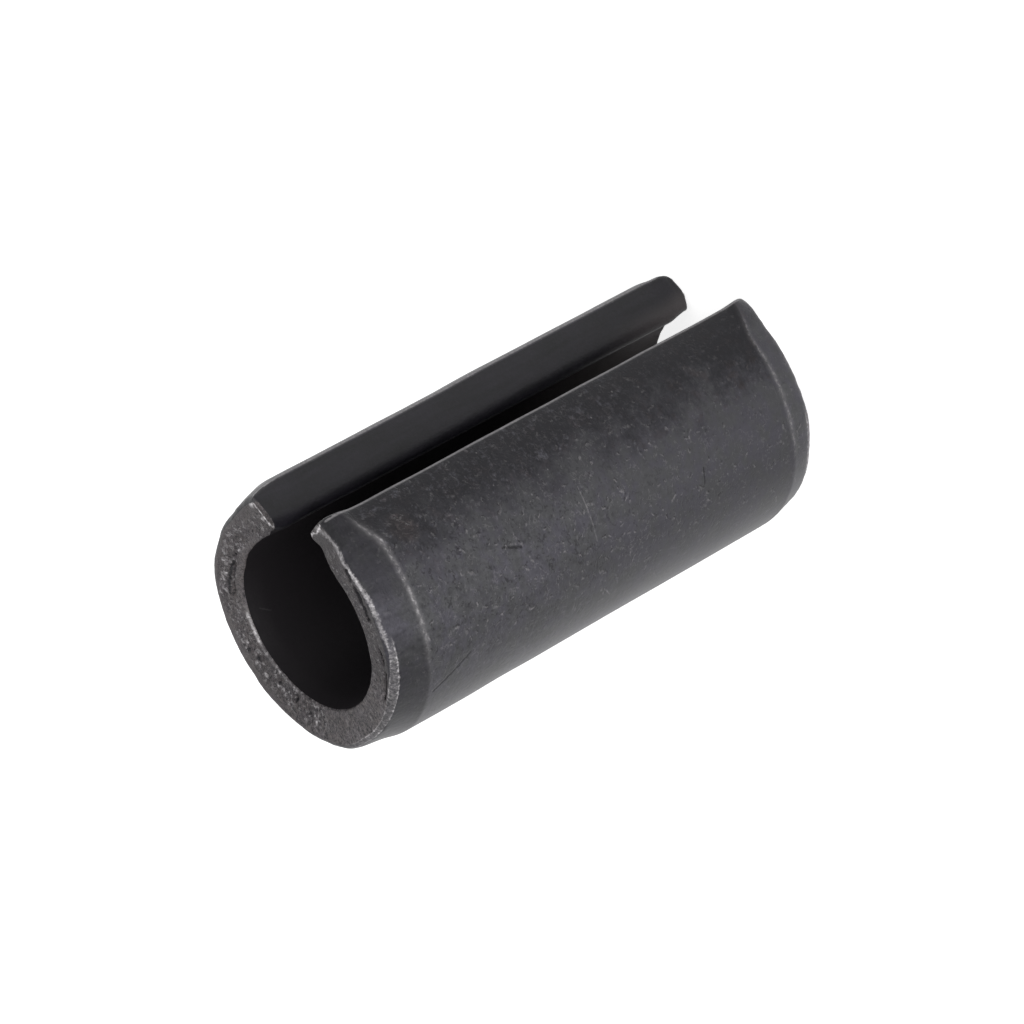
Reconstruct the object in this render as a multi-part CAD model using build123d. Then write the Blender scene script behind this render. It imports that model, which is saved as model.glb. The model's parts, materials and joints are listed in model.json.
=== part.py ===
"""A heavy slotted spring pin: spring-steel strip rolled once into a C-shaped tube.

The pin is drawn as it is before it is driven, so its slot is open and its body is
wider than the hole that it is made for. Both ends are swaged to a short lead-in.
It stands on one end, with its axis on +Z and its slot facing -Y.
"""
from build123d import *
import math
import os

# Driving dimensions, in millimetres and degrees
free_diameter = 8.8          # across the rolled body, before the pin is driven
wall = 1.5                   # thickness of the strip
length = 18.0                # over both sheared ends

slot_direction = -90.0            # the slot faces -Y
slot_half_angle_outside = 23.5    # from the middle of the slot to each lip's outer corner
slot_half_angle_inside = 15.5     # and to its inner corner, so the lips open outwards
lip_outer_radius = 0.12           # the strip's long corners on the outside
lip_inner_radius = 0.16           # and beside the bore

top_lead_in = 1.27                # length of the upper cone along the axis
top_lead_in_diameter = 8.3        # where that cone would meet its end face
bottom_lead_in = 1.0              # the lower end was swaged a little less
bottom_lead_in_diameter = 8.2
shoulder_radius = 0.5             # bend where a cone runs into the body
rim_radius = 0.16                 # rounding round both end faces, bore mouth and slot

outer_radius = free_diameter / 2
bore_radius = outer_radius - wall


def on_circle(radius, angle):
    """The point at this radius, at an angle in degrees counted from +X."""
    turn = math.radians(angle)
    return (radius * math.cos(turn), radius * math.sin(turn))


def strip_section():
    """The rolled strip's C-shaped section, with its lips cut back towards the outside."""
    outer_start = slot_direction + slot_half_angle_outside
    inner_start = slot_direction + slot_half_angle_inside
    outer_sweep = 360 - 2 * slot_half_angle_outside
    inner_sweep = 360 - 2 * slot_half_angle_inside
    middle_radius = (outer_radius + bore_radius) / 2
    with BuildSketch() as section:
        with BuildLine():
            CenterArc((0, 0), outer_radius, outer_start, outer_sweep)
            CenterArc((0, 0), bore_radius, inner_start, inner_sweep)
            Line(on_circle(outer_radius, outer_start), on_circle(bore_radius, inner_start))
            Line(
                on_circle(outer_radius, outer_start + outer_sweep),
                on_circle(bore_radius, inner_start + inner_sweep),
            )
        make_face()
        by_bore = section.vertices().filter_by(
            lambda corner: math.hypot(corner.X, corner.Y) < middle_radius
        )
        fillet(by_bore, lip_inner_radius)
        outside = section.vertices().filter_by(
            lambda corner: math.hypot(corner.X, corner.Y) > outer_radius - 0.01
        )
        fillet(outside, lip_outer_radius)
    return section.sketch


def swaged_envelope():
    """The solid of revolution that the two swaging dies leave: a body with a cone at each end."""
    with BuildSketch(Plane.XZ) as half:
        with BuildLine():
            Polyline(
                (0, 0),
                (bottom_lead_in_diameter / 2, 0),
                (outer_radius, bottom_lead_in),
                (outer_radius, length - top_lead_in),
                (top_lead_in_diameter / 2, length),
                (0, length),
                close=True,
            )
        make_face()
        shoulders = half.vertices().filter_by(lambda corner: corner.X > outer_radius - 0.01)
        fillet(shoulders, shoulder_radius)
    return revolve(half.sketch, Axis.Z)


def round_rim(solid, height):
    """Round every edge of the end face at this height: outside, bore mouth and both lips."""
    rim = solid.edges().filter_by(lambda edge: abs(edge.center().Z - height) < 1e-4)
    return fillet(rim, rim_radius)


def spring_pin():
    """The rolled tube, trimmed by the swaged envelope, with both end faces' edges rounded."""
    rolled = extrude(strip_section(), length)
    swaged = rolled & swaged_envelope()
    return round_rim(round_rim(swaged, 0), length)


pin = spring_pin()
os.makedirs("parts", exist_ok=True)
export_step(pin, "parts/slotted_spring_pin.step")
print("size", pin.bounding_box().size, "volume", round(pin.volume, 2), "solids", len(pin.solids()))
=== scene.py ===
# %% [markdown]
# # A slotted spring pin, from flat strip to black finish
#
# The real pin is one strip of spring steel. It is cut to length, rolled into a C, squeezed at both ends so
# that it finds its hole, hardened, and then blackened in a hot bath and oiled.
# It could be modelled as a tube with a slot cut out of it, but then the lips, the sheared ends and the
# wear would all have to be worked on a curved wall. Here it is made in the order of the workshop instead:
# a flat strip gets its slanted lips, squeezed ends and tool marks while every direction is still straight,
# and it is rolled last. The packed CAD pin gives the main sizes, so the lesson starts by loading it.

# %% Load the packed pin
import json
import math

import bmesh
import bpy
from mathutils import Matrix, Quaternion, Vector


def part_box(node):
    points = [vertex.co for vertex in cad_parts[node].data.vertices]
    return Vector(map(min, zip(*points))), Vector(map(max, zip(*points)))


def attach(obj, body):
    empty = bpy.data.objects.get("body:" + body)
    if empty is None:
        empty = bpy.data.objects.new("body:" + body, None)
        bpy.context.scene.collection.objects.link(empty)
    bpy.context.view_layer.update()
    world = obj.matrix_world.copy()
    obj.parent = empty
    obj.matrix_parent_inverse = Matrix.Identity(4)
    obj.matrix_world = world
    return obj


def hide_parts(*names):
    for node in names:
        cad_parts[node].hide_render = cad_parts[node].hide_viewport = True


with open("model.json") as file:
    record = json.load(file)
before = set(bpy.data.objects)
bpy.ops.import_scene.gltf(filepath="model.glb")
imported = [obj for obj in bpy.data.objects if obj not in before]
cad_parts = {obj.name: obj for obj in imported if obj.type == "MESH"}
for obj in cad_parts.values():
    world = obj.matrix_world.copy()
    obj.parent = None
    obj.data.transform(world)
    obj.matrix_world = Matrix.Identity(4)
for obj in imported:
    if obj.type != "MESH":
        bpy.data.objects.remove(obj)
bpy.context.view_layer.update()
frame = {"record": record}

MM = 0.001
CAD_PIN = "slotted_spring_pin"

# %% Read the pin's sizes, in millimetres
low, high = (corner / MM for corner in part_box(CAD_PIN))
mounts = {mount["name"]: mount["dims"] for mount in frame["record"]["mounts"]}
outer_radius = mounts["body"]["r_mm"]
wall = outer_radius - mounts["bore"]["r_mm"]
length = high.z - low.z
middle_radius = outer_radius - wall / 2
print(f"radius {outer_radius:.2f}, wall {wall:.2f}, length {length:.2f} mm")

# %% [markdown]
# ## The view
#
# The pin stands on its far end, so its axis is upright, and the camera is turned on its side to see it lying
# across the view. The camera could be given plain coordinates, but an aim point with a turn, a rise and a
# roll is easier to read and to change: the camera starts on a straight line back from the aim point, looks
# along it, and then rolls about its own axis. A long lens from far off keeps both ends nearly the same size.

# %% Place the camera
aim = Vector((0.066, 0.167, 9.225)) * MM
camera_distance = 142.156 * MM
turn, rise, roll = math.radians(-55.5), math.radians(33.528), math.radians(-118.868)
backwards = Vector((math.sin(turn) * math.cos(rise), -math.cos(turn) * math.cos(rise), math.sin(rise)))

bpy.ops.object.camera_add(location=aim + backwards * camera_distance)
camera = bpy.context.object
camera.name = "camera"
camera.data.lens = 158.99
camera.data.sensor_width = 36
camera.data.clip_start, camera.data.clip_end = 0.005, 10
camera.rotation_mode = "QUATERNION"
camera.rotation_quaternion = (-backwards).to_track_quat("-Z", "Y") @ Quaternion((0, 0, 1), roll)
bpy.context.scene.camera = camera
print("camera at", [round(c / MM, 1) for c in camera.location], "mm")

# %% [markdown]
# ## Shader maths in plain Python
#
# Every finish below is a sum of masks: this patch is an edge, that one is the bore. Such sums could be wired
# node by node, but they are far easier to read as arithmetic. `Shade` wraps one output socket, and the
# operators on it add Math nodes, also where the number comes first, as in `1 - mask`. Its `node` method makes
# every other kind of node: settings first, because they decide which sockets a node has, then the sockets.

# %% A class for shader maths
class Shade:
    """One output socket of a node tree, for use in plain arithmetic."""

    def __init__(self, tree, socket=None):
        self.tree, self.socket = tree, socket

    def node(self, kind, settings=(), inputs=(), output=0):
        """Add a node of this kind, set it up, fill or link its sockets, and give back one of its outputs."""
        made = self.tree.nodes.new("ShaderNode" + kind)
        for name, value in dict(settings).items():
            setattr(made, name, value)
        for name, value in dict(inputs).items():
            if isinstance(value, Shade):
                self.tree.links.new(value.socket, made.inputs[name])
            else:
                made.inputs[name].default_value = value
        return Shade(self.tree, made.outputs[output])

    def math(self, operation, *terms, clamp=False):
        settings = {"operation": operation, "use_clamp": clamp}
        return self.node("Math", settings, dict(enumerate((self, *terms))))

    def __add__(self, other):
        return self.math("ADD", other)

    def __radd__(self, other):
        return self.math("ADD", other)

    def __sub__(self, other):
        return self.math("SUBTRACT", other)

    def __rsub__(self, other):
        return self.node("Math", {"operation": "SUBTRACT"}, {0: other, 1: self})

    def __mul__(self, other):
        return self.math("MULTIPLY", other)

    def __rmul__(self, other):
        return self.math("MULTIPLY", other)

    def __truediv__(self, other):
        return self.math("DIVIDE", other)

    def __pow__(self, other):
        return self.math("POWER", other)

    def __abs__(self):
        return self.math("ABSOLUTE")

    def most(self, other):
        """The larger one of the two."""
        return self.math("MAXIMUM", other)

    def least(self, other):
        """The smaller one of the two."""
        return self.math("MINIMUM", other)

    def clamp(self):
        """Kept between 0 and 1."""
        return self.math("ADD", 0.0, clamp=True)

    def also(self, output):
        """Another output of the node that this socket belongs to."""
        return Shade(self.tree, self.socket.node.outputs[output])

    def fade(self, start, end):
        """0 at start, 1 at end, and a soft curve between them; start may be the larger one."""
        return self.node("MapRange", {"interpolation_type": "SMOOTHSTEP"},
                         {"Value": self, "From Min": start, "From Max": end})

    def mix(self, first, second):
        """A colour that goes from first to second as this mask goes from 0 to 1."""
        inputs = {0: self, 6: first, 7: second}
        return self.node("Mix", {"data_type": "RGBA"}, inputs, output=2)


print("Shade knows", sum(callable(v) for v in vars(Shade).values()), "operations")

# %% [markdown]
# ## Floor, surroundings and light
#
# Small parts like this are shown on a white sweep under soft boxes. The floor could be lit until it turns
# white, but that much light would bleach the pin too. Instead the floor is an ordinary pale surface under
# a plain light, and only what looks at it directly or in a reflection sees an added glow that lifts it to
# white, which leaves the pin's soft shadow. From underneath the floor is clear, so the pin can be looked at.

# %% Lay the floor
def bare_material(name):
    """A new material with an empty node tree: its Shade to start from, and its output node."""
    material = bpy.data.materials.new(name)
    material.use_nodes = True
    material.node_tree.nodes.clear()
    output = material.node_tree.nodes.new("ShaderNodeOutputMaterial")
    return material, Shade(material.node_tree), output


def looked_at(shade):
    """1 for rays from the camera and for those in a reflection or through glass, otherwise 0."""
    return shade.node("LightPath").most(shade.node("LightPath", output="Is Glossy Ray")).most(
        shade.node("LightPath", output="Is Transmission Ray"))


bpy.ops.object.select_all(action="DESELECT")
bpy.ops.mesh.primitive_plane_add(size=1.6)
floor = bpy.context.object
floor.name = "floor"
floor_finish, start, output = bare_material("white_sweep")
pale = start.node("BsdfDiffuse", inputs={"Color": (0.8, 0.8, 0.8, 1)})
glow = start.node("Emission", inputs={"Color": (1, 1, 1, 1), "Strength": looked_at(start) * 0.8})
lit = start.node("AddShader", inputs={0: pale, 1: glow})
clear = start.node("BsdfTransparent")
underneath = start.node("NewGeometry", output="Backfacing")
sweep = start.node("MixShader", inputs={0: underneath, 1: lit, 2: clear})
start.tree.links.new(sweep.socket, output.inputs["Surface"])
floor.data.materials.append(floor_finish)
print("floor is", round(floor.dimensions.x, 2), "m wide")

# %% White surroundings and two soft boxes
world = bpy.data.worlds.new("white_room")
bpy.context.scene.world = world
world.use_nodes = True
world.node_tree.nodes.clear()
room = Shade(world.node_tree)
seen = room.node("Background", inputs={"Color": (1, 1, 1, 1), "Strength": 1.0})
around = room.node("Background", inputs={"Color": (1, 1, 1, 1), "Strength": 0.45})
both = room.node("MixShader", inputs={0: looked_at(room), 1: around, 2: seen})
world.node_tree.links.new(both.socket, world.node_tree.nodes.new("ShaderNodeOutputWorld").inputs["Surface"])


def soft_box(name, direction, distance, size, power):
    """A square area light that looks at the middle of the pin from this direction."""
    middle = Vector((0, 0, length / 2)) * MM
    towards = Vector(direction).normalized()
    bpy.ops.object.light_add(type="AREA", location=middle + towards * distance)
    light = bpy.context.object
    light.name = name
    light.data.size = size
    light.data.energy = power
    light.rotation_euler = (-towards).to_track_quat("-Z", "Y").to_euler()
    return light


soft_box("broad_soft_box", (-0.9, -0.2, 0.4), 0.30, 0.22, 0.5)
soft_box("top_soft_box", (-0.2, -0.1, 1.0), 0.35, 0.30, 0.12)
bpy.context.scene.view_settings.view_transform = "Standard"

# %% [markdown]
# ## The flat strip
#
# The blank is a bar as long as the pin, as thick as its wall, and as wide as the wall's middle line is long
# all the way round from lip to lip. X runs along that line with 0 at the pin's back, Y goes through the wall
# from the bore at minus to the outside at plus, and Z is the pin's height. A box cut with flat planes gives
# this exactly, so the lips and the squeezed ends are bisected off it, the way shears and dies make them.
# Lips: the blank's two long sides are slanted, so that the slot of the rolled pin is wider outside.

# %% Cut the blank to its width and height
slot_half_angle_outside = 23.5
slot_half_angle_inside = 15.5
lip_outside = math.radians(180 - slot_half_angle_outside) * middle_radius
lip_inside = math.radians(180 - slot_half_angle_inside) * middle_radius
lip_slant = lip_inside - lip_outside

bpy.ops.object.select_all(action="DESELECT")
bpy.ops.mesh.primitive_cube_add(size=1)
pin = bpy.context.object
pin.name = "rolled_spring_pin"
bpy.ops.object.mode_set(mode="EDIT")
bpy.ops.transform.resize(value=(2 * lip_inside, wall, length))
bpy.ops.transform.translate(value=(0, 0, length / 2))
print(f"blank {2 * lip_inside:.2f} x {wall:.2f} x {length:.2f} mm")


# %% Helpers for work on the strip
def shape():
    return bmesh.from_edit_mesh(pin.data)


def centre(part):
    """The middle of a vertex, edge or face."""
    if isinstance(part, bmesh.types.BMVert):
        return part.co
    return sum((v.co for v in part.verts), Vector()) / len(part.verts)


def pick(kind, test):
    """Select only the vertices, edges or faces whose middle passes the test; gives back how many."""
    bpy.ops.mesh.select_mode(type=kind)
    bpy.ops.mesh.select_all(action="DESELECT")
    strip = shape()
    parts = {"VERT": strip.verts, "EDGE": strip.edges, "FACE": strip.faces}[kind]
    picked = [part for part in parts if test(part)]
    for part in picked:
        part.select = True
    strip.select_flush_mode()
    bmesh.update_edit_mesh(pin.data)
    return len(picked)


def cut(point, normal, trim=False):
    """Bisect the whole strip; with trim, what lies beyond the plane goes and the cut is closed."""
    bpy.ops.mesh.select_all(action="SELECT")
    bpy.ops.mesh.bisect(plane_co=point, plane_no=normal, clear_outer=trim, use_fill=trim, threshold=1e-5)


print("sides of the blank:", [tuple(round(c, 2) for c in centre(face)) for face in shape().faces])

# %% Slant the lips and squeeze the ends
top_lead_in, top_face_y = 1.27, 4.16 - middle_radius
bottom_lead_in, bottom_face_y = 1.03, 4.08 - middle_radius

for side in (1, -1):
    cut((side * lip_outside, wall / 2, 0), (side * wall, lip_slant, 0), trim=True)
cut((0, wall / 2, length - top_lead_in), (0, top_lead_in, wall / 2 - top_face_y), trim=True)
cut((0, wall / 2, bottom_lead_in), (0, bottom_lead_in, bottom_face_y - wall / 2), trim=True)
print("blank has", len(shape().faces), "faces")

# %% [markdown]
# ## Edges
#
# No edge of the real pin is sharp. Where the squeezed end meets the body there is a soft shoulder, the bore
# side of each lip is well rounded by the rolling, and all the rims are tumbled a little. Bevels of several
# segments give each edge its own radius, and they also leave the extra edge loops that keep smooth shading
# from smearing round the corners.

# %% Bevel the shoulders, lips and rims
def near(value, target, slack=1e-3):
    return abs(value - target) < slack


def is_shoulder(edge):
    c = centre(edge)
    at_height = near(c.z, length - top_lead_in) or near(c.z, bottom_lead_in)
    return near(c.x, 0) and near(c.y, wall / 2) and at_height


def is_inner_lip(edge):
    c = centre(edge)
    return near(abs(c.x), lip_inside) and near(c.y, -wall / 2)


def is_outer_rim(edge):
    c = centre(edge)
    return near(c.x, 0) and c.y > 0 and (near(c.z, length) or near(c.z, 0))


def is_sharp(edge):
    return edge.calc_face_angle() > math.radians(40)


BEVELS = (("shoulders", is_shoulder, 0.07, 4), ("inner lips", is_inner_lip, 0.22, 5),
          ("outer rims", is_outer_rim, 0.2, 6), ("other edges", is_sharp, 0.1, 4))
for name, test, offset, segments in BEVELS:
    count = pick("EDGE", test)
    bpy.ops.mesh.bevel(offset=offset, segments=segments, affect="EDGES")
    print(f"bevelled {count} edges of the {name}")

# %% [markdown]
# ## Loops for forming
#
# The strip is rolled and dented later, and a mesh only bends where it has loops. Bisecting right across gives
# rows at chosen heights, closer together near the ends, and subdividing the long edges gives the columns that
# become the round wall. The two end faces get extra lines through their thickness for their torn texture.

# %% Cut the rows, and loops along the lips
WIDE_ROW, FINE_ROW = 0.3, 0.12
rows = []
height = 0.2
while height < length - 0.15:
    rows.append(height)
    by_an_end = height < bottom_lead_in + 0.3 or height > length - top_lead_in - 0.4
    height += FINE_ROW if by_an_end else WIDE_ROW
for height in rows:
    cut((0, 0, height), (0, 0, 1))
for side in (1, -1):
    for inset in (0.2, 0.3, 0.4, 0.5, 0.6):
        cut((side * (lip_outside - inset), wall / 2, 0), (side, lip_slant / wall, 0))
print(len(rows), "rows, and five loops along each lip")

# %% Cut the lines of the end faces
END_BANDS = 16
END_MARGIN = 0.14
for end, top_y in ((0, bottom_face_y), (length, top_face_y)):
    for line in range(1, END_BANDS):
        pick("FACE", lambda f: all(near(v.co.z, end) for v in f.verts))
        y = -wall / 2 + END_MARGIN + (top_y + wall / 2 - 2 * END_MARGIN) * line / END_BANDS
        bpy.ops.mesh.bisect(plane_co=(0, y, 0), plane_no=(0, 1, 0), threshold=1e-5)
print("the strip has", len(shape().faces), "faces")

# %% Cut the columns, first coarse and then fine
COARSE_COLUMNS = 100
FINE_COLUMNS = 3


def reach_along(edge):
    start, end = edge.verts
    return abs(start.co.x - end.co.x)


count = pick("EDGE", lambda e: reach_along(e) > lip_outside)
bpy.ops.mesh.subdivide(number_cuts=COARSE_COLUMNS - 1)
coarse = 2 * lip_outside / COARSE_COLUMNS
pick("EDGE", lambda e: near(reach_along(e), coarse, coarse * 0.2)
     and near(e.verts[0].co.z, e.verts[1].co.z, 0.01))
bpy.ops.mesh.subdivide(number_cuts=FINE_COLUMNS - 1)
print(f"{count} long edges divided, and the strip has {len(shape().faces)} faces")
bpy.ops.object.mode_set(mode="OBJECT")
print("triangles:", sum(len(p.vertices) - 2 for p in pin.data.polygons))

# %% [markdown]
# ## A memory of the flat strip
#
# After rolling, "how far round", "how deep in the wall" and "how high" are hard to get from X, Y and Z. So
# every vertex keeps its place on the flat strip in an attribute, in millimetres, and the finish can read it
# later: the edge of a lip stays the edge of a lip whatever the rolling and the dents do to it.

# %% Keep each point's flat place
flat_place = pin.data.attributes.new("flat_place", "FLOAT_VECTOR", "POINT")
coordinates = [c for vertex in pin.data.vertices for c in vertex.co]
flat_place.data.foreach_set("vector", coordinates)
print("kept", len(pin.data.vertices), "places")

# %% [markdown]
# ## Marks of the dies
#
# Both ends are squeezed in a die while only the back of the strip is held, so the two lips, which nothing
# backs up, spring out again: they flare, and the right lip's shoulders sit closer to the ends. That lip has
# also slipped back a little, and both end faces are a little out of round. Each mark could be a modifier of
# its own, but they are small and all differ, so every one is pressed in one by one: some points are picked by
# their place and moved, and their surroundings follow by less and less, which is what thick metal does.

# %% Helpers for pressing
bpy.ops.object.mode_set(mode="EDIT")


def press(name, test, move, reach, falloff="SMOOTH"):
    """Move the points that pass the test, and drag their surroundings along within reach."""
    count = pick("VERT", test)
    bpy.ops.transform.translate(value=move, use_proportional_edit=True, use_proportional_connected=True,
                                proportional_edit_falloff=falloff, proportional_size=reach)
    print(f"{name}: {count} points")


def at_top(v):
    return v.co.z > length - 0.16


def at_bottom(v):
    return v.co.z < 0.16


def on_right_lip(v, inset=0.2):
    return v.co.x < inset - lip_outside


def on_left_lip(v, inset=0.2):
    return v.co.x > lip_outside - inset


def outer(v):
    return v.co.y > 0.15


def inner_corner(v):
    return abs(v.co.x) > lip_outside and v.co.y < -0.4


def on_shoulder(v, height):
    return near(v.co.z, height, 0.12) and v.co.y > wall / 2 - 0.05


print(pick("VERT", at_top), "points at the top and", pick("VERT", at_bottom), "at the foot")

# %% Press the shoulders and flare the lips
press("shoulder at the top of the right lip",
      lambda v: on_shoulder(v, length - top_lead_in) and on_right_lip(v, 0.05), (0, 0, 0.55), 1.1, "LINEAR")
press("shoulder at the foot of the right lip",
      lambda v: on_shoulder(v, bottom_lead_in) and on_right_lip(v, 0.05), (0, 0, -0.45), 1.1, "LINEAR")
press("cup of the top face",
      lambda v: near(v.co.z, length, 0.01) and v.co.y < 0.15 - wall / 2, (0, 0, -0.15), 0.95, "LINEAR")
press("right lip flares at the top",
      lambda v: at_top(v) and on_right_lip(v) and outer(v), (0, 0.21, 0), top_lead_in)
press("left lip flares at the top",
      lambda v: at_top(v) and on_left_lip(v) and outer(v), (0, 0.18, 0), top_lead_in)
press("right lip flares at the foot",
      lambda v: at_bottom(v) and on_right_lip(v) and outer(v), (0, 0.10, 0), bottom_lead_in)
press("left lip flares at the foot",
      lambda v: at_bottom(v) and on_left_lip(v) and outer(v), (0, 0.17, 0), bottom_lead_in)

# %% Press the corners of the lips
press("left inner corner at the top",
      lambda v: v.co.z > length - 0.2 and v.co.x > 10.1 and v.co.y < -0.5, (0, 0.12, 0), 0.35)
press("left lip thick at the top",
      lambda v: at_top(v) and 8.4 < v.co.x < 9.8 and v.co.y < -0.5, (0, -0.06, 0), 0.7)
press("left outer corner at the top",
      lambda v: at_top(v) and 8.6 < v.co.x and v.co.y > 0.25, (0, -0.06, -0.02), 1.1)
press("rim at the top's left rounded over",
      lambda v: at_top(v) and 3.0 < v.co.x < 9.6 and v.co.y > top_face_y - 0.12, (0, 0, -0.07), 0.6)
press("left inner corner at the foot",
      lambda v: v.co.z < 0.25 and on_left_lip(v, 0.2) and v.co.y < -0.4, (0, 0.10, 0.06), 0.8)
press("left outer corner at the foot",
      lambda v: v.co.z < 0.2 and on_left_lip(v, 0.2) and v.co.y > 0.35, (0, 0.03, 0.10), 0.5)
press("left lip leans in",
      lambda v: v.co.z > 10 and on_left_lip(v, 0.3) and v.co.y > 0.3, (0, -0.03, 0), 2.0)
press("right inner corner at the top",
      lambda v: v.co.z > length - 0.2 and on_right_lip(v, 0) and inner_corner(v), (-0.15, 0.20, 0), 0.45)
press("bore rim by the right lip",
      lambda v: at_top(v) and -9.7 < v.co.x < -9.3 and v.co.y < -0.5, (0, -0.08, 0), 0.4)
press("right lip set back",
      lambda v: at_top(v) and on_right_lip(v), (0, 0, -0.15), 1.0)
press("left lip shorter",
      lambda v: at_bottom(v) and on_left_lip(v), (0, 0, 0.06), 1.5)

# %% Press the end faces out of round
press("right arm drawn in",
      lambda v: at_top(v) and abs(v.co.x + 8.0) < 0.3, (0, -0.07, 0), 2.0)
press("wide side of the top face",
      lambda v: at_top(v) and -1.0 < v.co.x < 6.2 and v.co.y > 0.3, (0, 0.11, 0), 1.2)
press("wide left of the top face",
      lambda v: at_top(v) and 3.5 < v.co.x < 5.6 and v.co.y > 0.3, (0, 0.165, 0), 1.8)
press("full curve of the left arm",
      lambda v: at_top(v) and 7.0 < v.co.x < 7.5 and v.co.y > 0.2, (0, 0.045, 0), 1.1)
press("flat by the left corner",
      lambda v: at_top(v) and 9.3 < v.co.x < 9.7 and v.co.y > 0.2, (0, -0.045, 0), 0.6)
press("wide foot of the top face",
      lambda v: at_top(v) and -1.5 < v.co.x < 2.0 and v.co.y > 0.3, (0, 0.03, 0), 0.9)
press("wide right of the bottom face",
      lambda v: at_bottom(v) and -9.4 < v.co.x < -6.5 and v.co.y > 0.3, (0, 0.065, 0), 1.2)
press("wide side of the bottom face",
      lambda v: at_bottom(v) and -6.0 < v.co.x < -3.2 and v.co.y > 0.3, (0, 0.07, 0), 1.1)
press("thin wall at the top's left",
      lambda v: at_top(v) and -5.0 < v.co.x < 6.5 and v.co.y < -0.5, (0, 0.06, 0), 0.8)

# %% Pits, cracks and crumbs of the top face
# Their places are X and Y on the flat strip; a pit also has its radius, and a crack is a row of points.
PITS = ((8.96, -0.31, 0.05), (9.16, -0.39, 0.05), (3.65, -0.14, 0.08), (3.24, -0.29, 0.09),
        (2.13, -0.36, 0.07), (1.26, -0.34, 0.08), (0.56, -0.27, 0.08), (6.05, -0.26, 0.06),
        (7.35, -0.36, 0.05))
CRACKS = (((-8.67, 0.16), (-8.36, 0.02)), ((-8.12, -0.01), (-7.54, -0.07), (-7.02, -0.14)),
          ((-6.03, -0.06), (-5.60, 0.08)), ((-5.30, 0.13), (-4.67, 0.14), (-4.30, 0.13)),
          ((6.95, -0.33), (6.40, -0.31), (5.58, -0.22)))
CRUMBS = ((6.77, 0.02), (6.66, -0.12), (6.26, -0.12), (6.03, -0.04), (5.70, -0.01), (5.61, -0.09),
          (10.1, -0.26), (10.32, -0.54), (3.87, -0.22), (3.18, -0.14), (2.69, -0.17), (2.12, -0.27),
          (1.41, -0.18), (0.19, -0.10))


def runs(line):
    return zip(line, line[1:])


def off_run(v, start, end):
    """How far a point of the face is from a straight run on it."""
    a, b, p = Vector(start), Vector(end), v.co.xy
    share = min(max((p - a).dot(b - a) / (b - a).length_squared, 0), 1)
    return (p - a - (b - a) * share).length


def on_top_face(v):
    return v.co.z > length - 0.35 and -wall / 2 + 0.1 < v.co.y < top_face_y - 0.1


for x, y, radius in PITS:
    press(f"pit at {x}", lambda v: on_top_face(v) and (v.co.xy - Vector((x, y))).length < radius,
          (0, 0, -0.8 * radius), 1.6 * radius)
for crack in CRACKS:
    press(f"crack from {crack[0][0]}",
          lambda v: on_top_face(v) and min(off_run(v, *r) for r in runs(crack)) < 0.045, (0, 0, -0.08), 0.1)
bpy.ops.object.mode_set(mode="OBJECT")

# %% [markdown]
# ## Torn metal and an uneven skin
#
# The ends are sheared, not sawn. The blade cuts a smooth band and the rest tears off, so part of the face is
# rough. Random dents by the thousand are no work for proportional editing, so Displace modifiers with a
# cloud texture do it, each held to its place by a vertex group. The tearing takes metal away and adds next
# to none, so the pin keeps its length, and a very soft displacement takes the machine-made look off the rims
# and the skin.

# %% Where the faces are torn
def window(value, start, end, soft):
    """1 between start and end, 0 outside them, with soft edges."""
    rise = min(max((value - start) / soft + 0.5, 0), 1)
    fall = min(max((end - value) / soft + 0.5, 0), 1)
    return rise * fall


def torn(p):
    """How torn the face is at this place on the strip."""
    left_band = window(p.x, 5.0, 8.6, 0.9) * window(p.y, -0.45, 0.12, 0.2)
    left_corner = 0.6 * window(p.x, 9.4, 10.6, 0.4) * window(p.y, -0.8, -0.2, 0.2)
    low_band = window(p.x, -0.2, 4.5, 0.8) * window(p.y, -0.7, -0.05, 0.2)
    right_band = 0.5 * window(p.x, -9.4, -4.2, 0.8) * window(p.y, -0.6, 0.15, 0.2)
    return max(0.12, left_band, left_corner, low_band, right_band)


print("torn at the pin's back:", round(torn(Vector((0, -0.3, length))), 2))


# %% Tear the faces and soften the rims
def weigh(name, weight):
    """A vertex group whose weights are worked out from each point's flat place."""
    group = pin.vertex_groups.new(name=name)
    for vertex, kept in zip(pin.data.vertices, pin.data.attributes["flat_place"].data):
        value = weight(Vector(kept.vector))
        if value > 0:
            group.add([vertex.index], min(value, 1), "REPLACE")
    return group


def displace(name, weight, size, strength, direction, level=0.5, depth=2):
    """Dent the skin by a cloud texture; level 0 only moves points forwards, and level 1 only backwards."""
    clouds = bpy.data.textures.new(name, "CLOUDS")
    clouds.noise_scale, clouds.noise_depth = size, depth
    modifier = pin.modifiers.new(name, "DISPLACE")
    modifier.texture, modifier.texture_coords = clouds, "LOCAL"
    modifier.direction, modifier.strength, modifier.mid_level = direction, strength, level
    modifier.vertex_group = weigh(name, weight).name
    bpy.ops.object.modifier_apply(modifier=name)
    print(f"{name}: {strength} mm at most, in patches of {size} mm")


FACE, RIM = 0.03, 0.22    # how far the end faces and the rims reach from each end
displace("torn_top", lambda p: torn(p) if p.z > length - FACE else 0, 0.15, 0.12, "Z", level=0.75)
displace("torn_foot", lambda p: torn(p) if p.z < FACE else 0, 0.15, 0.09, "Z", level=0)
displace("worn_rims", lambda p: 0.8 * (p.z > length - RIM or p.z < RIM) * (0.02 < p.z < length - 0.02),
         0.35, 0.05, "NORMAL", level=0.65)
displace("uneven_skin", lambda p: float(RIM < p.z < length - RIM), 2.2, 0.03, "NORMAL", depth=1)

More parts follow.
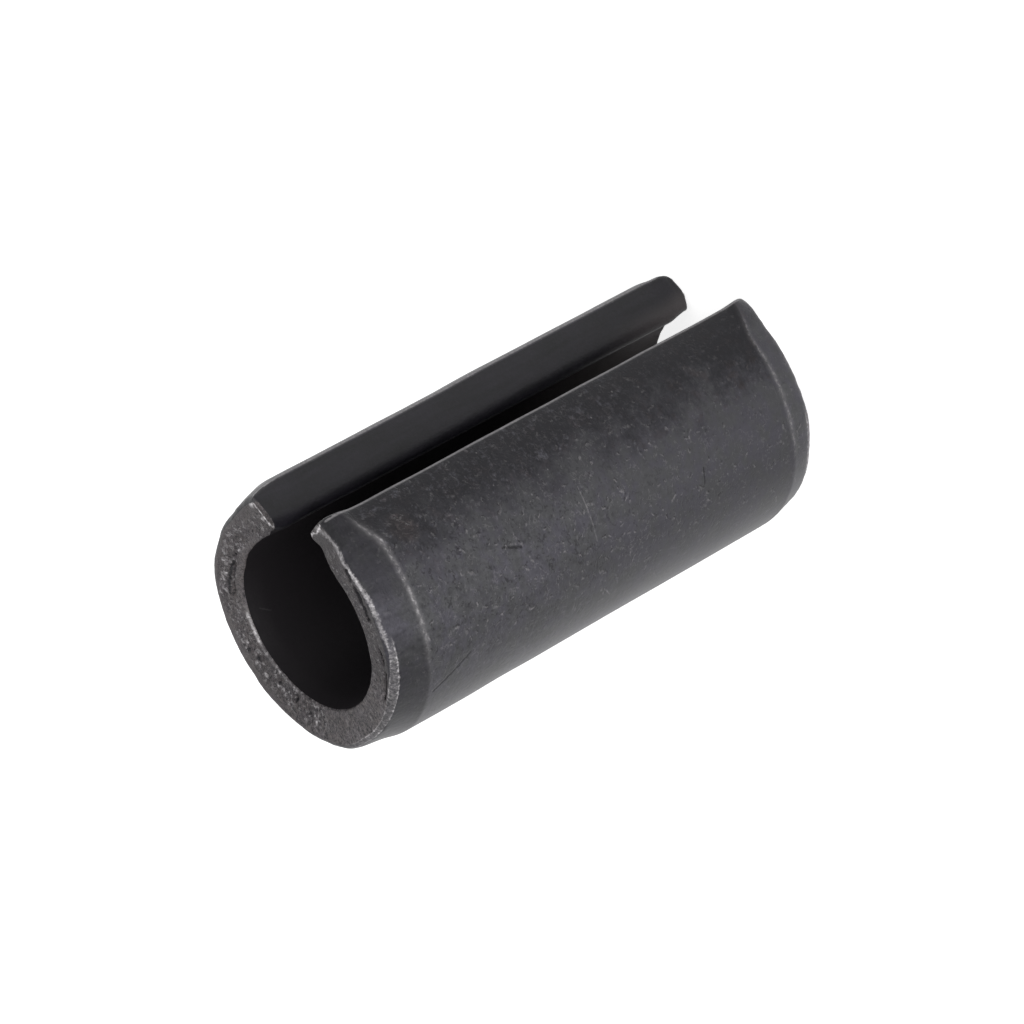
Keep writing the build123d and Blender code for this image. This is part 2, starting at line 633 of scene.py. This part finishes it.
# %% [markdown]
# ## Rolling
#
# The strip is rolled round a mandrel until only the slot is left between its lips. A Bend does just that to a
# flat mesh, about the Z axis, and its angle is the strip's width over the radius of its middle line, which
# neither stretches nor shrinks. Afterwards the pin is moved so that its axis is the Z axis, and scaled to
# metres.

# %% Roll the strip into a pin
roll_up = pin.modifiers.new("roll_up", "SIMPLE_DEFORM")
roll_up.deform_method = "BEND"
roll_up.deform_axis = "Z"
xs = [v.co.x for v in pin.data.vertices]
roll_up.angle = -(max(xs) - min(xs)) / middle_radius
bpy.ops.object.modifier_apply(modifier="roll_up")
pin.location = (0, middle_radius * MM, 0)
pin.scale = (MM, MM, MM)
bpy.ops.object.transform_apply(location=True, rotation=True, scale=True)
bpy.ops.object.shade_smooth()
print("rolled to", [round(c / MM, 2) for c in pin.dimensions], "mm")

# %% [markdown]
# ## The black finish
#
# Black oxide is a skin a thousandth of a millimetre thick, grown on the steel itself in a hot bath and then
# oiled. It hides nothing: tumbling marks, drawn lines and tears all show through, and on edges and high
# spots it rubs off and the grey metal comes out. One flat black could be broken up with a noise, but real
# wear isn't random, so every finish first works out where a point is on the strip, and how far it is from
# each edge. `Strip` gathers these places and the patterns that all three finishes use: skin, sheared ends
# and inside.

# %% Distances and ranges
def hypot(a, b):
    return (a * a + b * b) ** 0.5


def within(value, low_end, high_end, soft):
    """1 between two values, fading to 0 over soft on both sides."""
    return value.fade(low_end - soft, low_end) * value.fade(high_end + soft, high_end)


def beyond_lip(along, through):
    """How far a place on the strip is from the slanted face of the nearer lip."""
    sideways = (lip_outside - abs(along)) * wall - (through - wall / 2) * lip_slant
    return sideways / math.hypot(wall, lip_slant)


print("from the back of the bore to a lip:", round(beyond_lip(0, -wall / 2), 2), "mm")

# %% Places and patterns on the strip
MOTTLE = {"scale": 0.9, "detail": 4.0, "roughness": 0.6}
PATCHES = {"scale": 2.2, "detail": 3.0, "roughness": 0.6, "seed": 11.3}
GRIT = {"scale": 9.0, "detail": 3.0, "roughness": 0.65, "seed": 7.7}


class Strip:
    """Places on the flat strip, in millimetres, and patterns that lie on it, for one material."""

    def __init__(self, start):
        self.start = start
        self.flat = start.node("Attribute", {"attribute_name": "flat_place"}, output="Vector")
        self.along, self.through, self.up = self.parts(self.flat)
        self.is_top = self.up.math("GREATER_THAN", length / 2)
        self.from_end = self.up.least(length - self.up)

    def parts(self, vector):
        return [self.start.node("SeparateXYZ", inputs={0: vector}, output=axis) for axis in "XYZ"]

    def spread(self, seed, stretch=(1, 1, 1)):
        """The strip's places moved by a seed, so that no two patterns are alike, and then stretched."""
        shift = (seed, seed * 1.7, -seed)
        moved = self.start.node("VectorMath", {"operation": "ADD"}, {0: self.flat, 1: shift})
        return self.start.node("VectorMath", {"operation": "MULTIPLY"}, {0: moved, 1: stretch})

    def texture(self, scale, detail, roughness, seed, stretch, output):
        inputs = {"Vector": self.spread(seed, stretch), "Scale": scale, "Detail": detail,
                  "Roughness": roughness}
        return self.start.node("TexNoise", inputs=inputs, output=output)

    def noise(self, scale, detail=2.0, roughness=0.5, seed=0.0, stretch=(1, 1, 1)):
        """Noise with so many patches to the millimetre, about 0 on average."""
        return self.texture(scale, detail, roughness, seed, stretch, 0) - 0.5

    def noises(self, scale, detail=2.0, roughness=0.5, seed=0.0, stretch=(1, 1, 1)):
        """Three such noises that have nothing to do with each other."""
        colour = self.texture(scale, detail, roughness, seed, stretch, "Color")
        return [part - 0.5 for part in self.parts(colour)]

    def dots(self, spacing, radius, share, seed):
        """Round spots, at most one to a cell of a scattered grid."""
        spot = self.start.node("TexVoronoi", inputs={"Vector": self.spread(seed), "Scale": 1 / spacing},
                               output="Distance")
        dice = self.parts(spot.also("Color"))[0]
        return spot.fade(radius / spacing, radius / spacing / 3) * dice.math("LESS_THAN", share)

    def chips(self, spacing, long, wide, share, seed, bend):
        """Short bent nicks, each turned its own way: their lit side and, beside it, their shaded side."""
        sheet = self.start.node("CombineXYZ", inputs={"X": self.along + seed, "Y": self.up - seed})
        cell = self.start.node("TexVoronoi", {"voronoi_dimensions": "2D"},
                               {"Vector": sheet, "Scale": 1 / spacing}, output="Position")
        off = self.start.node("VectorMath", {"operation": "SUBTRACT"}, {0: sheet, 1: cell})
        x, y, _ = self.parts(off)
        turn_dice, share_dice, _ = self.parts(cell.also("Color"))
        turn = turn_dice * 2.2 + 0.47
        cosine, sine = turn.math("COSINE"), turn.math("SINE")
        lengthwise = abs(x * cosine + y * sine + bend * 0.1).fade(long / 2, long / 4)
        lengthwise = lengthwise * share_dice.fade(share, share / 3)
        sideways = y * cosine - x * sine + bend * 0.22
        return [lengthwise * abs(sideways + side * wide * 0.6).fade(wide, wide / 4) for side in (1, -1)]

    def line(self, begin, end, wide, across, wobble=0.0):
        """A straight scratch, thinning out to its sides; across is the second way, up or through the wall."""
        (x0, y0), (x1, y1) = begin, end
        long = math.hypot(x1 - x0, y1 - y0)
        x, y = self.along - x0 + wobble, across - y0
        lengthwise = (x * ((x1 - x0) / long) + y * ((y1 - y0) / long)).most(0.0).least(long)
        off = hypot(x - lengthwise * ((x1 - x0) / long), y - lengthwise * ((y1 - y0) / long))
        return off.fade(wide, wide * 0.3)


print("patterns and places:", [name for name in vars(Strip) if not name.startswith("_")])

# %% Curly scratches, worn rims and black oxide
# Bare metal colours, for real wear and for painted highlights alike.
METAL = (0.43, 0.41, 0.42, 1)
BRIGHT_METAL = (0.66, 0.64, 0.65, 1)


def curls(noise, crowd, wide=0.05):
    """Short curly scratches: the thin lines where a noise crosses 0, kept only where the crowd is thick."""
    return abs(noise).fade(wide, wide * 0.25) * crowd.fade(0.02, 0.14)


def rim_wear(strip, grit, speckle):
    """Bare metal along the outer rim: one ragged band on the right arm, then two lines with rungs between."""
    along, around = strip.along, strip.through + strip.from_end
    first = 0.05 + along.fade(-10.2, -9.0) * 0.27 + along.fade(-9.0, -7.4) * 0.19
    first = first - along.fade(-6.3, -4.6) * 0.22
    second = 0.76 - along.fade(-5.4, -2.9) * 0.22
    split = along.fade(-6.6, -6.0)
    grain = strip.noise(13.0, detail=4.0, roughness=0.75, seed=21.0, stretch=(1.0, 0.6, 0.6))
    blotches = strip.noise(2.8, detail=2.0, roughness=0.6, seed=51.0)
    rungs = grain.fade(-0.12, 0.16)
    band = 0.17 - split * 0.10 + grain * 0.28 + grit * 0.12
    band = band - abs(around - first + (along.fade(-9.2, -8.2) - split) * 0.05)
    wear = band.fade(0.0, 0.13) * 0.54 + band.fade(0.07, 0.15) * (0.16 + split * 0.11)
    wear = wear + (0.045 + speckle * 0.24 - abs(around - second)).fade(0.0, 0.06) * split * 0.55
    wear = wear + within(around, first, second, 0.03) * split * (rungs * 0.30 + 0.20)
    wear = wear * (1 + within(along, -9.3, -7.6, 0.6) * 0.4)
    wear = wear * (speckle * 2.0 + grain * 1.6 + blotches * 1.4 + 1.0)
    return wear.most(0.0) * strip.from_end.fade(0.5, 0.35) * (along.fade(-0.6, -2.6) * 0.95 + 0.05)


def oxide(strip, tone, tint, bare_metal_and_highlight, relief, output, gloss=0.42, shine=0.25):
    """Black oxide of this tone and tint, with bare metal for wear and painted highlights, dented by the
    relief in mm.
    """
    dark = strip.start.node("VectorMath", {"operation": "SCALE"}, {0: tint, "Scale": tone.most(0.002)})
    bare_metal_and_highlight = bare_metal_and_highlight.clamp()
    dents = {"Strength": 1.0, "Distance": MM, "Height": relief}
    bent = strip.start.node("Bump", inputs=dents, output="Normal")
    shader = strip.start.node("BsdfPrincipled", inputs={
        "Base Color": bare_metal_and_highlight.mix(dark, bare_metal_and_highlight.mix(METAL, BRIGHT_METAL)), "Metallic": bare_metal_and_highlight, "Roughness": gloss,
        "Specular IOR Level": shine, "Specular Tint": (0.985, 0.965, 1.06, 1), "Normal": bent})
    strip.start.tree.links.new(shader.socket, output.inputs["Surface"])
    print(f"{len(strip.start.tree.nodes)} nodes")


print("bare metal goes from", METAL[:3], "to", BRIGHT_METAL[:3])

# %% [markdown]
# ## The skin
#
# Outside, the pin has been tumbled with thousands of others: it is covered in short nicks and curly scratches
# that point every way, with a few longer ones. They could be drawn one by one, but textures scatter them
# better: a Voronoi cell rolls its own dice for the direction of its nick, and a noise makes curls where it
# crosses its middle value. Each nick gets a painted highlight of bare metal on one side and painted shade on
# the other. The creases and rims are rubbed to bare metal, with a soft painted highlight along the creases
# and a painted reflection round the rim of the foot. Near the right lip the bath has left a darker patch with
# a ragged edge and a little brown in it, made darker still by painted shade for the side turned from the
# light.
# A band round the middle of the right arm is painted lighter and the skin towards the back and the top
# darker:
# painted light and shade round the body.

# %% Scratches, chips and grains of the skin
SCRATCHES = (((-4.34, 16.55), (-4.98, 15.11), 0.06), ((-7.18, 13.12), (-6.96, 12.46), 0.05),
             ((-6.0, 5.0), (-6.4, 4.92), 0.05))
SCUFFS = (((-7.6, 9.68), (-6.1, 9.64), 0.035), ((-4.5, 9.42), (-4.15, 9.1), 0.035),
          ((-4.2, 1.72), (-4.0, 1.64), 0.04))
RUST_SPOT = (-8.85, 15.8)

skin_finish, start, output = bare_material("black_oxide_skin")
skin = Strip(start)
along = skin.along
mottle = skin.noise(**MOTTLE)
patches, crowd, stain = skin.noises(**PATCHES)
grit, speckle, crumble = skin.noises(**GRIT)
curl, dark_curl, fine_grit = skin.noises(6.5, detail=1.5, roughness=0.6, seed=31.0)
streak = skin.noise(4.0, detail=2.0, roughness=0.6, seed=41.0, stretch=(1.0, 1.0, 0.10))
# How worked the skin is: most on the right arm and towards the top, and little on the smooth upper lead-in.
lane = within(along, -6.3, -5.6, 0.35)
pressed = (length - top_lead_in - 0.05 - skin.up).fade(0.05, -0.05)
worked = within(along, -9.9, -5.6, 1.8) * (skin.up.fade(1.0, 9.0) * 0.55 + 0.15) + lane * 0.2 + 0.28
worked = worked * (1 - pressed * 0.7)
light_curls = curls(curl, crowd * 0.8 + speckle * 0.8) * worked
dark_curls = curls(dark_curl, crumble * 0.8 - crowd * 0.8, 0.09) * worked
small_lit, small_shaded = skin.chips(0.26, long=0.19, wide=0.038, share=0.50, seed=2.3, bend=grit)
large_lit, large_shaded = skin.chips(0.62, long=0.40, wide=0.055, share=0.55, seed=4.4, bend=grit)
broken = crumble.fade(-0.12, 0.14)
# The lit side of each nick is a painted highlight of bare metal, and its shaded side painted shade.
lit = (small_lit * worked + large_lit * (worked * 0.7 + 0.2)) * broken
shaded = (small_shaded * worked + large_shaded * (worked * 0.7 + 0.2)) * broken
specks = skin.dots(0.34, radius=0.04, share=0.22, seed=1.9) * worked
scratch = scuff = 0.0
for begin, end, wide in SCRATCHES:
    scratch = skin.line(begin, end, wide, skin.up, grit * 0.10) + scratch
for begin, end, wide in SCUFFS:
    scuff = skin.line(begin, end, wide, skin.up, grit * 0.12) + scuff
print(len(start.tree.nodes), "nodes for the skin's patterns")

# %% Where the skin shows bare metal, and where highlights are painted
end_y = skin.is_top * (top_face_y - bottom_face_y) + bottom_face_y
lead_in = skin.is_top * (top_lead_in - bottom_lead_in) + bottom_lead_in
past_crease = lead_in - skin.from_end
skin_y = wall / 2 - (past_crease / lead_in).most(0.0) * (wall / 2 - end_y)
from_lip = beyond_lip(along, skin.through)
on_lead_in = past_crease.fade(-0.04, 0.04)
crease = abs(past_crease + patches * 0.14)
beads = (crease + grit * 0.12).fade(0.09, 0.0) * speckle.fade(-0.08, 0.12)
# Along each crease a soft painted highlight, with beads of bare metal rubbed on it.
crease_highlight_and_wear = crease.fade(0.18, 0.0) * 0.14 + beads * 0.24
crease_highlight_and_wear = crease_highlight_and_wear * (within(along, -8.7, -6.3, 1.4) * 0.92 + 0.08) * (skin.is_top * 0.3 + 0.7)
crease_highlight_and_wear = crease_highlight_and_wear + crease.fade(0.32, 0.0) * within(along, -9.4, -8.8, 0.35) * skin.is_top * 0.07
lip_wear = hypot(from_lip - 0.045, skin_y - skin.through - 0.045).fade(0.06, 0.02)
# Darker patch by the right lip: left by the bath, deepened by painted shade for the side turned from the
# light.
patch_and_painted_shade_by_lip = (mottle * 3.0 + patches * 2.4 + grit * 2.2 - along + skin.up.fade(17.0, 9.0) * 0.2).fade(7.3, 9.3)
patch_and_painted_shade_by_lip = patch_and_painted_shade_by_lip * (1 - on_lead_in * 0.62)
# Round the rim of the foot: a painted reflection, with slight wear.
far_rim_reflection_and_wear = skin.from_end.fade(0.34, 0.08) * (1 - skin.is_top)
bare_metal_and_highlight = (rim_wear(skin, grit, speckle) * 0.6 + far_rim_reflection_and_wear * 0.12 + crease_highlight_and_wear * (crumble * 2.0 + 1)
        + lip_wear * (grit + 0.7) * 0.50 + scuff * (speckle * 1.6 + 0.35).most(0.0) * 0.35
        + specks * 0.2 + light_curls * (0.10 - patch_and_painted_shade_by_lip * 0.06) + lit * (0.22 - patch_and_painted_shade_by_lip * 0.10))
print(len(start.tree.nodes), "nodes with its wear")

# %% The skin's tone, tint and relief
upper_lead_in = on_lead_in * skin.is_top * (within(along, -9.4, -7.8, 0.8) * 0.24 + 0.28)
lower_lead_in = on_lead_in * skin.is_top * along.fade(-6.8, -4.5)
grains = (grit * 1.6 + fine_grit * 0.8 + patches * 0.9 - 0.03).most(0.0) * patch_and_painted_shade_by_lip * (1 - on_lead_in * 0.8)
# The middle of the right arm is painted lighter as painted light, and the patch by the lip painted darker.
tone = (within(along, -8.6, -6.6, 1.4) * 0.020 + 0.034) * (1 - patch_and_painted_shade_by_lip * 0.95) * (1 - lower_lead_in * 0.46)
tone = tone + grains * (skin.up.fade(2.0, 10.0) * 0.06 + 0.02)
tone = tone + on_lead_in * (1 - skin.is_top) * (patch_and_painted_shade_by_lip * 0.018 + 0.006)
tone = tone * (1 - upper_lead_in) * (skin.up.fade(1.0, 17.0) * 0.2 + 0.9)
# Towards the back and the top the skin is painted darker: painted shade round the body.
tone = tone * (1 - along.fade(-5.6, -3.6) * skin.up.fade(6.0, 15.0) * (1 - on_lead_in) * 0.22)
rough = skin.up.fade(4.0, 14.0) * 0.65 + 0.35
tone = tone * ((mottle * 0.5 + patches * (patch_and_painted_shade_by_lip * 2.4 + 0.5) + streak * (on_lead_in * 1.2 + 0.6)
                + grit * 1.2 + fine_grit * 0.6) * rough + 1).most(0.15)
tone = tone * (1 - scratch.clamp() * 0.8) * (1 - shaded.clamp() * 0.8) * (1 - dark_curls * rough * 0.6)
rust = patch_and_painted_shade_by_lip * stain.fade(0.0, 0.16) * (skin.up.fade(8.0, 2.0) * 0.5 + 0.4)
rust = rust.most(hypot(along - RUST_SPOT[0], skin.up - RUST_SPOT[1] + grit * 0.5).fade(0.6, 0.25) * 0.8)
tint = (stain + mottle).fade(-0.16, 0.16).mix((0.985, 0.99, 1.03, 1), (0.975, 0.94, 1.13, 1))
tint = rust.mix((patch_and_painted_shade_by_lip * patch_and_painted_shade_by_lip).mix(tint, (0.97, 0.95, 1.10, 1)), (1.25, 0.98, 0.92, 1))
relief = (mottle * 0.010 + grit * rough * 0.010 + fine_grit * 0.004 + light_curls * 0.005 - dark_curls * 0.006
          - shaded * 0.010 - scratch * 0.02)
oxide(skin, tone, tint, bare_metal_and_highlight, relief, output)

# %% [markdown]
# ## The sheared ends
#
# Round part of each end the metal is torn: rubble with bright crumbs and dark hollows. The crumbs are bare
# metal brightened as painted highlights, and the hollows, the pits and the cracks are darkened as painted
# shade. Elsewhere fine lines run through the wall, and cracks run along it, most of them in the right arm.
# All of this could be modelled, but the mesh is too coarse for more than the larger dents, so the finish adds
# the rest in the same places; the pits and cracks come from the lists above.

# %% Torn bands, pits and cracks of the ends
sheared_finish, start, output = bare_material("sheared_ends")
ends = Strip(start)
along, through = ends.along, ends.through
patches = ends.noise(**PATCHES)
grit, speckle, crumble = ends.noises(**GRIT)
left_band = within(along, 5.2, 8.6, 0.7) * within(through, -0.45, 0.10, 0.2)
left_corner = within(along, 9.3, 10.6, 0.4) * within(through, -0.8, -0.15, 0.2) * 0.8
low_band = within(along, 0.0, 4.6, 0.7) * within(through, -0.7, -0.05, 0.2) * 0.85
right_band = within(along, -9.3, -4.2, 0.8) * within(through, -0.7, 0.0, 0.12) * 0.6
tears = (left_band.most(left_corner).most(low_band).most(right_band) * (patches * 1.8 + 0.75)).clamp()
rubble, hollows, dust = ends.noises(6.5, detail=5.0, roughness=0.75, seed=13.0)
radial = ends.noise(9.0, detail=3.0, roughness=0.75, seed=17.0, stretch=(1.0, 0.24, 1.0))
radial_zone = within(along, -4.4, 0.0, 0.9) * 0.85 + 0.15
fine_grit = ends.noise(15.0, detail=2.0, roughness=0.7, seed=5.2)
pit = crack = 0.0
for x, y, radius in PITS:
    pit = hypot(along - x, through - y + grit * 0.1).fade(radius * 1.2, radius * 0.4) + pit
for points in CRACKS:
    for begin, end in runs(points):
        crack = ends.line(begin, end, 0.055, through + crumble * 0.12, grit * 0.14) + crack
hole = ((pit + crack) * ends.is_top).clamp()
print(len(start.tree.nodes), "nodes for the patterns of the ends")

# %% Where the ends are bright
from_lip = beyond_lip(along, through)
lip_end = (0.05 + grit * 0.2 - abs(from_lip + ends.from_end - 0.05)).fade(0.0, 0.06)
lip_end = lip_end * through.fade(-0.72, -0.5)
corner_spot = hypot(hypot(along - 9.92, through - 0.28), ends.from_end - 0.03).fade(0.2, 0.05) * ends.is_top
# Bright crumbs: bare metal, brightened as painted highlights.
crumb = 0.0
for x, y in CRUMBS:
    crumb = hypot(along - x + grit * 0.25, through - y + speckle * 0.2).fade(0.10, 0.04) + crumb
burr = hypot(ends.from_end - 0.05, through + wall / 2 - 0.06).fade(0.09, 0.03) * (
    within(along, 3.8, 4.7, 0.3) * 0.6 + within(along, 1.4, 5.0, 0.5) * 0.25)
# Bare metal of the rims, lip ends, burrs and crumbs; the crumbs and the torn rubble are brightened as painted
# highlights.
bare_metal_and_highlight = (rim_wear(ends, grit, speckle) * 0.6
        + (lip_end * 1.15 + corner_spot + burr + crumb * 0.55) * (speckle * 2.6 + 0.8).most(0.0)
        + rubble.fade(0.01, 0.13) * tears * 0.72 + radial.fade(0.02, 0.20) * radial_zone * 0.24
        + dust.fade(0.10, 0.22) * 0.14) * (1 - hole * 0.9)
print(len(start.tree.nodes), "nodes with their wear")

# %% The ends' tone, tint and relief
left_glow = within(along, 4.0, 8.6, 1.2) * 0.016
tone = (0.057 + left_glow - within(along, -9.8, -5.0, 0.8) * 0.033 + right_band * 0.035)
calm = through.fade(-0.05, 0.14) * within(along, 2.5, 9.2, 1.0) * 0.6
low_grain = within(along, -4.4, 1.0, 0.9) * 2.5
tone = tone * (patches * 0.35 + (grit * (low_grain + 2.4) + crumble * (low_grain + 1.4) + fine_grit * 3.8)
               * (1 - calm) + 1).most(0.12)
# Pits, cracks and hollows are darkened: painted shade in the recesses.
tone = tone * (1 - hole * 0.93) * (1 - hollows.fade(0.03, 0.13) * (tears * 0.7 + 0.1))
tint = patches.fade(-0.15, 0.15).mix((1.12, 0.98, 0.955, 1), (1.08, 0.955, 0.99, 1))
relief = rubble * (tears * 0.16 + 0.015) - hollows * (tears * 0.05) + radial * (radial_zone * 0.05)
relief = relief + grit * 0.012 + fine_grit * 0.016 - hole * 0.06
oxide(ends, tone, tint, bare_metal_and_highlight, relief, output, gloss=0.45, shine=0.33)

# %% [markdown]
# ## The inside
#
# The walls of the slot keep the oil and are nearly black; the bore is painted darker still and duller, as
# painted shade for the light that hardly gets inside. A thin bright line shows where the wall of the slot
# turns into the bore: bare metal with a painted highlight on it. Its own plain finish does that: an oily
# black on the walls of the slot, a duller one in the bore, and a paler tone towards the foot.

# %% Patterns of the inside
inside_finish, start, output = bare_material("dark_inside")
inside = Strip(start)
mottle = inside.noise(**MOTTLE)
grit = inside.noise(**GRIT)
over_bore = inside.through + wall / 2
from_lip = beyond_lip(inside.along, inside.through)
# A thin line where the wall of the slot turns into the bore: bare metal, brightened as a painted highlight.
turn_line_highlight_and_wear = hypot(from_lip - 0.09, over_bore - 0.09).fade(0.09, 0.03) * 0.22
turn_line_highlight_and_wear = turn_line_highlight_and_wear * inside.up.fade(1.0, 4.5) * inside.from_end.fade(0.2, 2.0)
lip_wall = from_lip.fade(0.16, 0.08)
specks = inside.dots(0.5, radius=0.035, share=0.12, seed=1.9)
scratch = inside.line((4.9, 17.5), (4.6, 17.1), 0.04, inside.up, grit * 0.15) * 0.03
end_line = inside.from_end.fade(0.13, 0.04) * lip_wall * (grit + 0.7) * 0.2
bare_metal_and_highlight = turn_line_highlight_and_wear * (grit * 1.5 + 0.9) + specks * (lip_wall * 0.12 + 0.012) + scratch + end_line
bare_metal_and_highlight = bare_metal_and_highlight.clamp()
print(len(start.tree.nodes), "nodes for the patterns of the inside")

# %% The inside's tones and its two shaders
bent = start.node("Bump", inputs={"Strength": 1.0, "Distance": MM, "Height": mottle * 0.01 + grit * 0.008},
                  output="Normal")
streak = inside.noise(3.0, detail=3.0, roughness=0.6, seed=41.0, stretch=(1.0, 1.0, 0.12))
wall_tone = (streak * 1.6 + mottle * 1.2 + grit * 0.8 + 0.5).clamp()
wall_tone = wall_tone.mix((0.003, 0.003, 0.004, 1), (0.0145, 0.013, 0.018, 1))
# Paler towards the foot.
paler_wall_by_foot = inside.up.fade(4.5, 0.2) * inside.through.fade(0.15, -0.55)
wall_tone = paler_wall_by_foot.mix(wall_tone, (0.088, 0.078, 0.080, 1))
paler_bore_by_foot = within(inside.along, 7.0, 10.8, 0.9) * inside.up.fade(8.0, 0.2)
bore_tone = paler_bore_by_foot.mix((0.0135, 0.012, 0.0135, 1), (0.110, 0.098, 0.100, 1))
oily = start.node("BsdfPrincipled", inputs={
    "Base Color": bare_metal_and_highlight.mix(wall_tone, METAL), "Metallic": bare_metal_and_highlight, "Roughness": 0.42,
    "Specular IOR Level": 0.27, "Normal": bent})
# The bore is duller and darker than the walls: painted shade for the light that hardly gets in.
painted_shade_bore = start.node("BsdfPrincipled", inputs={
    "Base Color": bare_metal_and_highlight.mix(bore_tone, METAL), "Roughness": 0.6, "Specular IOR Level": 0.1, "Normal": bent})
both = start.node("MixShader", inputs={0: (lip_wall + turn_line_highlight_and_wear * 4).clamp(), 1: painted_shade_bore, 2: oily})
start.tree.links.new(both.socket, output.inputs["Surface"])
print(len(start.tree.nodes), "nodes")

# %% Give each part of the surface its finish
SKIN, SHEARED, INSIDE = range(3)
OUTER_RIM = 0.19     # this much of each end's rounded rim keeps the skin's finish
LIP_ROUND = 0.12     # and so does this much of each lip's outer corner


def kind_of_surface(x, y, z):
    """Which of the three finishes covers this place on the strip."""
    from_end, face_y = min((z, bottom_face_y), (length - z, top_face_y))
    if from_end < 0.1 and y + from_end < face_y - OUTER_RIM:
        return SHEARED
    in_bore = y < 0.04 - wall / 2
    on_slot_wall = beyond_lip(x, y) < 0.019 and y < wall / 2 - LIP_ROUND
    return INSIDE if in_bore or on_slot_wall else SKIN


for finish in (skin_finish, sheared_finish, inside_finish):
    pin.data.materials.append(finish)
places = [Vector(kept.vector) for kept in pin.data.attributes["flat_place"].data]
counts = [0, 0, 0]
for face in pin.data.polygons:
    corners = [places[v] for v in face.vertices]
    middle = [(min(c[axis] for c in corners) + max(c[axis] for c in corners)) / 2 for axis in range(3)]
    face.material_index = kind_of_surface(*middle)
    counts[face.material_index] += 1
print("faces of skin, ends and inside:", counts)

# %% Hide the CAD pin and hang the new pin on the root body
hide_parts(CAD_PIN)
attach(pin, "root")
print(pin.name, "stands for", CAD_PIN)
